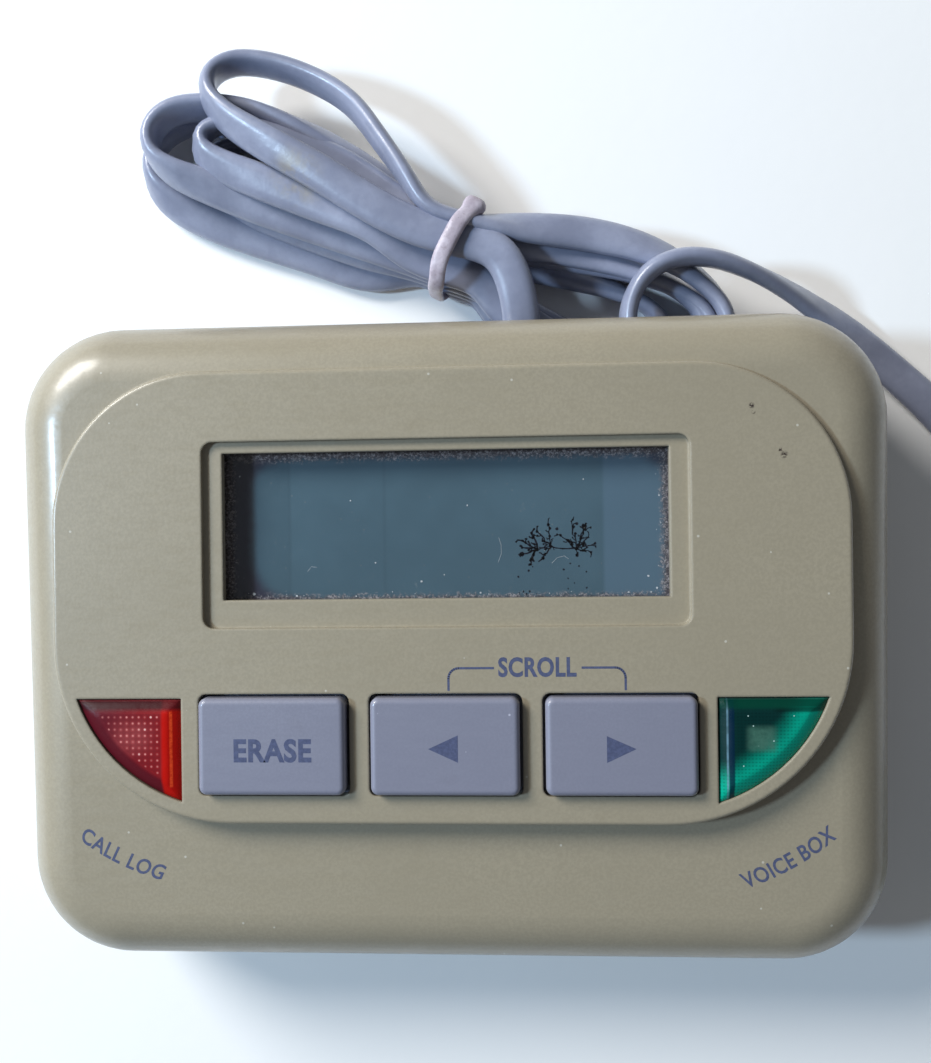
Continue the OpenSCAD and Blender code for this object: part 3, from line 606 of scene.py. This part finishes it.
# ---- display ----
def display():
    """Blue-grey cell with a pale right part, faint seams, a dark band at the left and rear that is partly its
    own border and partly painted shade of the recess walls, and dust at its rim.
    """
    g = Graph("display_cell", Specular_IOR_Level=0.5)
    grey, pale, border_and_shade = (0.088, 0.148, 0.180), (0.134, 0.206, 0.268), (0.052, 0.048, 0.070)
    col = g.mix(g.step(g.noise(0.06, 3, 0.6), 0.35, 0.65), tinted(grey, 0.94), tinted(grey, 1.08))
    col = g.mix(g.step(g.x, 19.5, 20.1, 0.0, 0.55), col, pale)
    for x in (-19.8, -7.7):
        col = g.mix(g.band(g.x, x, 0.08, 0.35, 0.28), col, tinted(grey, 0.72))
    col = g.mix(g.step(g.x, -20, -19.6, 0.28, 0.0), col, tinted(grey, 0.62))
    # the dark band, partly painted shade, starts at a wavering rounded rectangle: middle and half size in x
    # and y, corner radius
    r = 4.5
    past = []
    for place, middle, half in ((g.x, 1.2, 25.4), (g.y, 14.9, 8.4)):
        past.append(g.math("MAXIMUM", g.minus(g.math("ABSOLUTE", g.minus(place, middle)), half - r), 0.0))
    d = g.minus(g.length(*past), r)
    d = g.plus(d, g.times(g.minus(g.noise(0.35, 3, 0.6), 0.5), 1.3))
    # painted shade: the band is kept only along the left and the rear, the sides the recess walls shade
    shaded_sides = g.math("MAXIMUM", g.step(g.x, -20.0, -14.0, 1.0, 0.0), g.times(g.step(g.y, 21.0, 23.0), 0.8))
    col = g.mix(g.times(g.step(d, -0.6, 1.5), shaded_sides), col, border_and_shade)
    edge_x = g.minus(27.7, g.math("ABSOLUTE", g.x))
    edge_y = g.math("MINIMUM", g.minus(g.y, 5.5), g.minus(24.0, g.y))
    edge = g.math("MINIMUM", edge_x, g.times(edge_y, 1.1))
    rim = g.step(g.plus(edge, g.times(g.noise(1.7, 6, 0.82), -3.4)), -1.55, -0.55, 1.0, 0.0)
    dust = g.mix(g.step(g.noise(3.4, 4, 0.8), 0.46, 0.64), (0.090, 0.060, 0.056), (0.52, 0.45, 0.43))
    col = g.mix(g.times(rim, 0.85), col, dust)
    col = g.mix(g.step(g.cells(0.9), 0.025, 0.04, 0.35, 0.0), col, (0.30, 0.33, 0.36))
    return g.done(col, g.step(g.noise(0.8, 3), 0.3, 0.7, 0.16, 0.26), g.bump(g.noise(2.2, 3), 0.004))


assign("lcd_glass", display())


def glass_top(x, y):
    return 21.6


def stroke(polys, a, b, wa, wb):
    """A straight mark from a to b, wa wide at its start and wb at its end."""
    d = Vector((b[0] - a[0], b[1] - a[1]))
    if d.length < 1e-4:
        return
    q = Vector((-d.y, d.x)).normalized() / 2
    polys.append([(a[0] - q.x * wa, a[1] - q.y * wa), (b[0] - q.x * wb, b[1] - q.y * wb),
                  (b[0] + q.x * wb, b[1] + q.y * wb), (a[0] + q.x * wa, a[1] + q.y * wa)])


def blot(polys, x, y, r, rnd, n=9):
    """A ragged spot with n corners, about r in radius."""
    turns = [2 * math.pi * k / n for k in range(n)]
    polys.append([(x + r * rnd.uniform(0.7, 1.2) * math.cos(a), y + r * rnd.uniform(0.7, 1.2) * math.sin(a))
                  for a in turns])


LEFT_TIPS = ((9.2, 12.95), (9.3, 11.1), (10.6, 10.4), (12.25, 10.6), (11.5, 14.0), (10.8, 13.8), (9.6, 12.0))
RIGHT_TIPS = ((12.9, 14.9), (14.4, 13.5), (15.8, 15.2), (17.6, 14.9), (17.3, 14.1), (18.7, 12.4),
              (16.4, 11.0), (15.2, 12.9), (18.2, 11.3), (17.9, 13.2))
KNOTS = ((16.4, 11.8, 0.24), (17.5, 14.6, 0.26), (12.9, 14.8, 0.22), (14.0, 14.3, 0.2), (9.6, 11.2, 0.3),
         (10.8, 10.5, 0.28), (12.2, 10.7, 0.22))
SPOTS = ((10.4, 9.1), (15.6, 9.95), (15.3, 8.1), (17.6, 8.9), (15.3, 6.8), (17.6, 6.9), (9.1, 8.35),
         (9.7, 6.5), (10.5, 6.5), (11.4, 6.2), (9.2, 6.3), (10.1, 6.2), (16.1, 7.5), (14.8, 9.2),
         (16.7, 9.6), (10.9, 9.6))
CRUMBS = ((-3.1, 7.9, 0.15), (4.35, 6.4, 0.13), (25.25, 8.3, 0.15), (-12, 18.2, 0.10), (-8.9, 10.3, 0.10),
          (2.8, 17.4, 0.11), (-0.2, 8.7, 0.09), (17.35, 20.45, 0.10), (-24.5, 6.5, 0.2), (-19, 6.2, 0.14),
          (22.8, 6.3, 0.12), (26.7, 18.3, 0.12), (-26.2, 21.5, 0.12), (-11.4, 6.1, 0.09), (26.3, 6.8, 0.14),
          (25.6, 6.3, 0.12))
FIBRES = (((6.6, 10.2), (7.0, 11.2), (7.0, 12.4), (6.7, 13.3)),
          ((13.3, 10.0), (14.0, 10.7), (14.9, 10.9), (15.4, 10.5)),
          ((-17.6, 9.3), (-17.1, 9.9), (-16.4, 9.8)))


def stain():
    """The black stain in the display, crooked branches with twigs and blots, then the lint on its glass."""
    rnd = random.Random(7)
    polys = []

    def branch(a, b, w, depth):
        n = max(3, int((Vector(b) - Vector(a)).length / 0.45))
        last = Vector(a)
        for k in range(1, n + 1):
            p = Vector(a).lerp(Vector(b), k / n)
            if k < n:
                p += Vector((rnd.uniform(-1, 1), rnd.uniform(-1, 1))) * 0.17
            stroke(polys, last, p, w * rnd.uniform(0.7, 1.3), w * rnd.uniform(0.6, 1.2))
            if depth and rnd.random() < 0.75:
                way = (p - last).normalized()
                way.rotate(Matrix.Rotation(rnd.choice((-1, 1)) * rnd.uniform(0.6, 1.2), 2))
                branch(p, p + way * rnd.uniform(0.35, 0.95), w * 0.8, depth - 1)
            if rnd.random() < 0.30 or (k == n and depth):
                blot(polys, p.x, p.y, rnd.uniform(0.10, 0.21), rnd)
            last = p

    right_hub, left_hub = (16.4, 11.8), (13.3, 12.1)
    branch(left_hub, right_hub, 0.17, 0)
    branch((10.6, 11.5), left_hub, 0.17, 1)
    for tip in LEFT_TIPS:
        branch((11.6, 11.8) if tip[0] < 11.2 else left_hub, tip, 0.22, 1)
    for tip in RIGHT_TIPS:
        branch(right_hub if tip[0] > 13.5 else left_hub, tip, 0.15, 1)
    for x, y, r in KNOTS:
        blot(polys, x, y, r, rnd)
    for x, y in SPOTS:
        blot(polys, x, y, rnd.uniform(0.07, 0.17), rnd, 7)
    g = Graph("display_stain", Specular_IOR_Level=0.4)
    m = g.done(g.mix(g.noise(2.0, 2), (0.004, 0.004, 0.010), (0.016, 0.016, 0.026)), 0.3)
    flat_piece("display_stain", polys, glass_top, "case", m)

    lint = []
    for x, y, r in CRUMBS:
        blot(lint, x, y, r, rnd, 8)
    for _ in range(26):
        if rnd.random() < 0.62:
            x, y = rnd.uniform(-26.5, 26.8), 6.15 + abs(rnd.gauss(0, 0.28))
        else:
            x, y = 26.9 - abs(rnd.gauss(0, 0.35)), rnd.uniform(6.4, 23)
        blot(lint, x, y, rnd.uniform(0.03, 0.08), rnd, 6)
    for pts in FIBRES:
        for a, b in zip(pts, pts[1:]):
            stroke(lint, a, b, 0.035, 0.03)
    g = Graph("display_lint", Specular_IOR_Level=0.3)
    m = g.done(g.mix(g.noise(1.2, 3), (0.50, 0.50, 0.47), (0.78, 0.78, 0.80)), 0.8)
    flat_piece("display_lint", lint, glass_top, "case", m, lift=0.05)


stain()


# ---- lamps ----
def lamp(name, side, deep, mid, strip, edge, glow, dots):
    """Tinted lens over a grid of small prisms. side is -1 for the left lamp and 1 for the right one.

    In mm, u runs outwards from the straight side, v towards the front and arc inwards from the round edge.
    """
    left = side < 0
    g = Graph(name, Specular_IOR_Level=0.14, Coat_Weight=0.10, Coat_Roughness=0.14, Coat_IOR=1.4)
    u, v = g.minus(g.times(g.x, side), 33.0), g.minus(-6.3, g.y)
    arc = g.minus(20.6, g.length(g.plus(u, 6.3), g.plus(v, 7.0)))
    soft = g.noise(0.28, 3, 0.6)
    if left:
        col = g.mix(g.step(u, 1.0, 12.0), mid, deep)
        pale = g.times(g.band(u, 6.0, 0.5, 3.6), g.band(v, 4.6, 0.4, 3.2))
    else:
        col = g.mix(g.step(g.plus(arc, g.times(soft, 1.5)), 1.6, 5.6), mid, deep)
        pale = g.times(g.band(u, 5.0, 1.0, 2.2), g.band(v, 4.85, 0.9, 1.9))
        rows, columns = (g.math("SINE", g.times(place, 2 * math.pi / 0.42)) for place in (v, u))
        weave = g.step(g.plus(rows, g.times(columns, 0.6)), 0.2, 1.2, 0.0, 0.34)
        col = g.mix(g.times(weave, g.step(u, 8.0, 11.5, 1.0, 0.0)), col, tinted(deep, 0.45))
    col = g.mix(g.times(pale, g.step(g.noise(1.3, 3, 0.6), 0.25, 0.75, 0.55, 0.95)), col, glow)

    # the grid of prisms: how far from the nearest prism's middle, and a random number for each prism
    pitch = 0.765 if left else 0.60
    from_first = (g.minus(u, 2.8), g.minus(v, 2.1))
    dist = g.length(*(g.math("PINGPONG", place, pitch / 2) for place in from_first))
    cell = g.add("CombineXYZ")
    for place, socket in zip(from_first, cell.inputs):
        g.put(g.math("ROUND", g.math("DIVIDE", place, pitch)), socket)
    white = g.add("TexWhiteNoise", noise_dimensions="2D")
    g.put(cell.outputs[0], white.inputs["Vector"])
    chance = white.outputs["Value"]
    inside = g.times(g.step(u, 2.35, 2.5), g.step(v, 1.65, 1.8), g.step(arc, 1.9, 2.1))
    if left:
        dot = g.times(g.step(dist, 0.05, 0.19, 1.0, 0.0), inside)
        col = g.mix(g.times(inside, g.step(dist, 0.15, 0.38, 0.0, 0.35)), col, tinted(deep, 0.7))
        col = g.mix(g.times(dot, g.step(chance, 0.0, 1.0, 0.25, 0.85)), col, dots)
        col = g.mix(g.times(dot, g.step(chance, 0.92, 0.96, 0.0, 0.6)), col, (0.85, 0.60, 0.55))
    else:
        dot = g.times(g.step(dist, 0.03, 0.11, 1.0, 0.0), inside)
        col = g.mix(g.times(dot, g.step(chance, 0.93, 1.0, 0.0, 0.9)), col, dots)

    # the rim, the strip along the straight side, and painted shade over the rear bevel
    rim = g.step(g.plus(arc, g.times(soft, 0.3)), 1.5, 2.3, 0.9 if left else 0.12, 0.0)
    col = g.mix(rim, col, edge)
    if left:
        col = g.mix(g.times(g.step(u, 2.0, 2.5, 1.0, 0.0), g.step(v, 0.9, 1.6), 0.92), col, strip)
        # painted light: a bright red line along the straight-side bevel
        painted_light_line = g.times(g.band(u, 1.12, 0.08, 0.24), g.step(v, 1.2, 1.7), g.step(v, 10.6, 11.0, 1.0, 0.0))
        painted_light_line = g.times(painted_light_line, g.step(g.noise(2.4, 3, 0.7), 0.35, 0.6, 0.45, 1.0))
        col = g.mix(painted_light_line, col, (0.95, 0.085, 0.020))
    else:
        col = g.mix(g.band(u, 1.45, 0.22, 0.42, 0.9), col, strip)
        # painted highlight: a pale line along the straight edge, which faces the light
        line = g.times(g.band(u, 0.98, 0.05, 0.16, 0.75), g.step(g.noise(0.8, 3), 0.3, 0.7, 0.4, 1.0))
        col = g.mix(line, col, (0.14, 0.26, 0.34))
        dark = g.times(g.step(v, 1.0, 1.2), g.step(v, 1.5, 1.8, 1.0, 0.0), g.step(u, 6.0, 7.2), 0.75)
        col = g.mix(dark, col, tinted(deep, 0.4))
    # painted shade: the rear bevel darkened against the light that falls on it
    rear = g.times(g.step(v, 0.9, 1.6, 1.0, 0.0), g.step(v, 0.16, 0.24, 0.6, 1.0))
    rear = g.times(rear, g.step(u, 1.9, 2.6, 0.75, 1.0), 0.94)
    col = g.mix(rear, col, tinted(edge, 0.4))
    # painted highlight: a thin pale line along the rear edge
    col = g.mix(g.band(v, 0.10, 0.06, 0.16, 0.35), col, tinted(glow, 0.9))
    normal = g.bump(g.noise(0.9, 2), 0.02, under=g.soft_edge(1.3))
    return g.done(col, g.step(soft, 0.3, 0.7, 0.26, 0.38), normal)


assign("red_lamp_lens", lamp(
    "red_lens", -1, deep=(0.115, 0.010, 0.018), mid=(0.26, 0.012, 0.014), strip=(0.52, 0.006, 0.002),
    edge=(0.085, 0.006, 0.012), glow=(0.36, 0.060, 0.062), dots=(0.70, 0.26, 0.24)))
assign("green_lamp_lens", lamp(
    "green_lens", 1, deep=(0.001, 0.024, 0.022), mid=(0.0, 0.380, 0.250), strip=(0.0, 0.014, 0.036),
    edge=(0.0, 0.10, 0.06), glow=(0.055, 0.150, 0.110), dots=(0.62, 0.85, 0.80)))


# ---- the rest ----
def simple(name, colour, rough=0.5, metal=0.0, scale=0.4, fine=2.5, depth=0.01, stretch=None, **sockets):
    """One colour with a slow drift of 12 % either way, darker specks and a little relief."""
    g = Graph(name, Metallic=metal, **sockets)
    at = g.stretched(*stretch) if stretch else None
    wide, small = g.noise(scale, 4, 0.6, at=at), g.noise(fine, 3, 0.6, at=at)
    col = g.mix(g.step(wide, 0.3, 0.7), tinted(colour, 0.88), tinted(colour, 1.12))
    col = g.mix(g.step(small, 0.5, 0.75, 0.0, 0.25), col, tinted(colour, 0.7))
    return g.done(col, g.step(wide, 0.3, 0.7, rough * 0.8, min(1.0, rough * 1.25)), g.bump(small, depth))


def board():
    """Green solder mask with lighter tracks and small pads."""
    g = Graph("board_mask", Specular_IOR_Level=0.5)
    brick = g.add("TexBrick", offset=0.37, squash=0.6)
    g.put(g.p, brick.inputs["Vector"])
    for k, v in (("Scale", 0.5), ("Mortar Size", 0.05), ("Brick Width", 3.1), ("Row Height", 0.8)):
        brick.inputs[k].default_value = v
    brick.inputs["Color1"].default_value = brick.inputs["Color2"].default_value = (0.010, 0.085, 0.035, 1)
    brick.inputs["Mortar"].default_value = (0.03, 0.17, 0.07, 1)
    col = g.mix(g.step(g.cells(0.35), 0.10, 0.13, 0.8, 0.0), brick.outputs["Color"], (0.55, 0.55, 0.52))
    return g.done(col, 0.35, g.bump(brick.outputs["Fac"], 0.02))


def sleeve():
    """The battery's printed sleeve: copper in the middle, dark towards both ends, bare metal beyond."""
    g = Graph("cell_sleeve", Specular_IOR_Level=0.6)
    turn = g.noise(0.9, 3)
    ends = g.step(g.math("ABSOLUTE", g.plus(g.y, g.times(turn, 0.15))), 8.0, 8.3)
    col = g.mix(ends, (0.52, 0.26, 0.08), (0.030, 0.030, 0.036))
    col = g.mix(g.step(g.math("ABSOLUTE", g.y), 20.6, 20.9), col, (0.55, 0.55, 0.56))
    return g.done(col, g.step(turn, 0.3, 0.7, 0.22, 0.36), g.bump(g.noise(0.7, 3), 0.02))


steel = simple("plated_steel", (0.55, 0.55, 0.56), 0.3, 1.0, stretch=(1, 0.15, 1))
gold = simple("gold_flash", (0.80, 0.55, 0.20), 0.25, 1.0, stretch=(1, 0.3, 1))
chip = simple("moulding_compound", (0.014, 0.014, 0.016), 0.6)
ivory = simple("jack_ivory", (0.62, 0.57, 0.46), 0.38, fine=1.6)
silicone = simple("silicone", (0.66, 0.66, 0.62), 0.55, Subsurface_Weight=0.1)
holder = simple("holder_plastic", (0.022, 0.021, 0.024), 0.55)
strip = simple("connector_strip", (0.55, 0.38, 0.44), 0.6, scale=0.8, stretch=(6, 0.2, 0.2))
foot = simple("foot_rubber", (0.018, 0.018, 0.018), 0.8, fine=1.4, depth=0.05)
plug_clear = clear("plug_polycarbonate", (0.80, 0.83, 0.82), 0.06, 0.08, dirt=0.25, grain=0.9)
for names, material in (
    (("main_board",), board()),
    (("controller_chip", "bridge_rectifier"), chip),
    (("crystal", "battery_springs", "battery_plates", "case_screws", "board_screws"), steel),
    (("phone_jack_contacts",), gold),
    (("line_jack", "phone_jack"), ivory),
    (("erase_dome", "back_dome", "forward_dome"), silicone),
    (("battery_cell_1", "battery_cell_2", "battery_cell_3", "battery_cell_4"), sleeve()),
    (("lcd_holder",), holder),
    (("lcd_connector",), strip),
    (("red_led",), simple("led_red", (0.55, 0.02, 0.02), 0.15, Coat_Weight=0.6)),
    (("green_led",), simple("led_green", (0.03, 0.42, 0.09), 0.15, Coat_Weight=0.6)),
    (("bulk_capacitor",), simple("capacitor_sleeve", (0.014, 0.020, 0.085), 0.3)),
    (("optocoupler",), simple("white_body", (0.80, 0.80, 0.77), 0.5)),
    (("battery_leads",), simple("lead_sheath", (0.42, 0.012, 0.012), 0.4)),
    (("rubber_feet",), foot),
    (("line_plug_a", "line_plug_b"), plug_clear),
):
    for n in names:
        assign(n, material)


def plug_inside(name, nose):
    """Four gold blades in the plug's slots, with toothed lower edges, and the end of the cord's sheath."""
    blade = [(0.3, 2.4), (0.3, 2.95), (0.7, 3.08), (3.4, 3.08), (4.6, 2.9), (4.7, 0.9), (3.9, 0.9),
             (3.6, 0.1), (3.2, 0.9), (2.0, 0.9), (1.7, 0.1), (1.3, 0.9), (0.9, 1.2)]
    half_thick = 0.15
    bm = bmesh.new()
    for off in (-1.53, -0.51, 0.51, 1.53):
        rings = []
        for x in (nose[0] + off - half_thick, nose[0] + off + half_thick):
            rings.append([bm.verts.new((x * MM, (nose[1] + y) * MM, (nose[2] + z) * MM)) for y, z in blade])
        for k in range(len(blade)):
            bm.faces.new((rings[0][k], rings[0][k - 1], rings[1][k - 1], rings[1][k]))
        bm.faces.new(rings[0])
        bm.faces.new(rings[1][::-1])
    bmesh.ops.recalc_face_normals(bm, faces=bm.faces)
    link_mesh(name + "_blades", mesh_of(bm, name + "_blades"), gold, "case")
    sheath_line = ((7, 0.1), (10, 0.1), (14, 0), (17.5, 0), (20.9, 0))
    points = [(nose[0], nose[1] + y, nose[2] + z, 0) for y, z in sheath_line]
    mesh, _ = flat_cord(name + "_cord_end", points, 4.7, 2.2, step=0.7)
    link_mesh(name + "_cord_end", mesh, cord_sheath, "case")


plug_inside("plug_a", (10, 17.0, 10.1))
plug_inside("plug_b", (78, -43, 4.3))


# ---- floor, light ----
def floor():
    bm = bmesh.new()
    bmesh.ops.create_grid(bm, x_segments=24, y_segments=24, size=1.2)
    mesh = mesh_of(bm, "floor")
    o = bpy.data.objects.new("floor", mesh)
    scene.collection.objects.link(o)
    g = Graph("floor", Specular_IOR_Level=0.2)
    col = g.mix(g.noise(0.02, 3), (0.90, 0.895, 0.885), (0.95, 0.945, 0.935))
    mesh.materials.append(g.done(col, 0.85, g.bump(g.noise(0.4, 3), 0.02)))


def area(name, where, aim, size, power, colour):
    data = bpy.data.lights.new(name, "AREA")
    data.shape, data.size, data.energy, data.color = "DISK", size, power, colour
    o = bpy.data.objects.new(name, data)
    o.location = where
    o.rotation_euler = (Vector(aim) - Vector(where)).to_track_quat("-Z", "Y").to_euler()
    scene.collection.objects.link(o)


floor()
area("room_light", (-0.62, 0.50, 0.52), (0, 0, 0.01), 0.40, 10.0, (1.0, 0.985, 0.95))
area("window_light", (-0.50, 0.035, 0.47), (-0.05, 0.02, 0.02), 0.085, 2.9, (0.56, 0.77, 1.0))
world = bpy.data.worlds.new("world")
world.use_nodes = True
background = world.node_tree.nodes["Background"]
background.inputs["Color"].default_value = (0.86, 0.92, 1.0, 1)
background.inputs["Strength"].default_value = 0.16
scene.world = world
